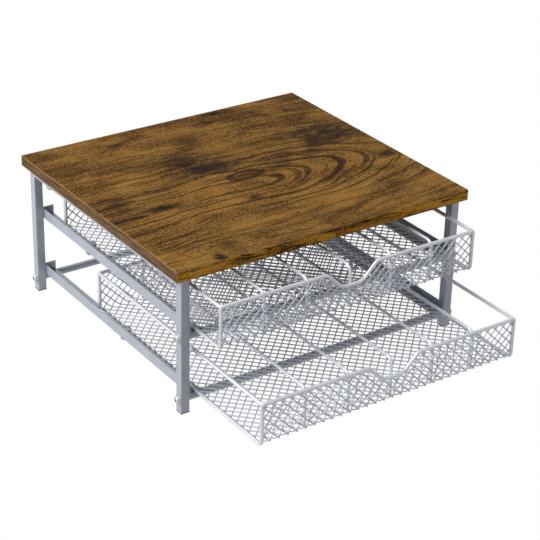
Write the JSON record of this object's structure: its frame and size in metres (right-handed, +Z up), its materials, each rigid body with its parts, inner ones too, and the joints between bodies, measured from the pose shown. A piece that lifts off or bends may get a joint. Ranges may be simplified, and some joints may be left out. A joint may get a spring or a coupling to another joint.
{
  "type": "coffee pod drawer",
  "caption": "Two-tier drawer stand for coffee pods: wood-look board on square tube legs, with wire and diamond mesh drawers that slide on angle runners.",
  "frame": {"origin": "on the table, below the middle of the box that the stand fills with its drawers pulled out as at rest", "axes": "+X to the right, -Y to the front, the way the drawers pull out, +Z up"},
  "size_m": [0.36, 0.4384, 0.1635],
  "materials": {
    "board": "rustic wood laminate",
    "frame_steel": "silver grey powder coat",
    "wire_steel": "silver grey powder coat",
    "mesh_steel": "silver grey powder coat",
    "fastener": "zinc plated",
    "cap_plastic": "dark matt plastic"
  },
  "bodies": {
    "frame": {"top_board": "board", "leg_end_caps": "cap_plastic", "cross_bar_bolts": "fastener", "cross_bar_washers": "fastener", "board_screws": "fastener", "front_left_leg": "frame_steel", "front_right_leg": "frame_steel", "rear_left_leg": "frame_steel", "rear_right_leg": "frame_steel", "left_top_rail": "frame_steel", "right_top_rail": "frame_steel", "upper_left_runner": "frame_steel", "upper_right_runner": "frame_steel", "lower_left_runner": "frame_steel", "lower_right_runner": "frame_steel", "upper_front_cross_bar": "frame_steel", "lower_front_cross_bar": "frame_steel", "lower_rear_cross_bar": "frame_steel"},
    "upper_drawer": {"upper_rim_wire": "wire_steel", "upper_left_side_wire": "wire_steel", "upper_right_side_wire": "wire_steel", "upper_front_mesh": "mesh_steel", "upper_floor_mesh": "mesh_steel", "upper_rear_mesh": "mesh_steel", "upper_divider_1": "wire_steel", "upper_divider_2": "wire_steel", "upper_divider_3": "wire_steel", "upper_divider_4": "wire_steel", "upper_divider_5": "wire_steel", "upper_stop_hooks": "wire_steel"},
    "lower_drawer": {"lower_rim_wire": "wire_steel", "lower_left_side_wire": "wire_steel", "lower_right_side_wire": "wire_steel", "lower_front_mesh": "mesh_steel", "lower_floor_mesh": "mesh_steel", "lower_rear_mesh": "mesh_steel", "lower_divider_1": "wire_steel", "lower_divider_2": "wire_steel", "lower_divider_3": "wire_steel", "lower_divider_4": "wire_steel", "lower_divider_5": "wire_steel", "lower_stop_hooks": "wire_steel"}
  },
  "joints": [
    {"name": "upper_drawer_slide", "type": "slide", "parent": "frame", "child": "upper_drawer", "axis": [0, -1, 0], "range_m": [-0.0409, 0.2071]},
    {"name": "lower_drawer_slide", "type": "slide", "parent": "frame", "child": "lower_drawer", "axis": [0, -1, 0], "range_m": [-0.1135, 0.1345]}
  ]
}
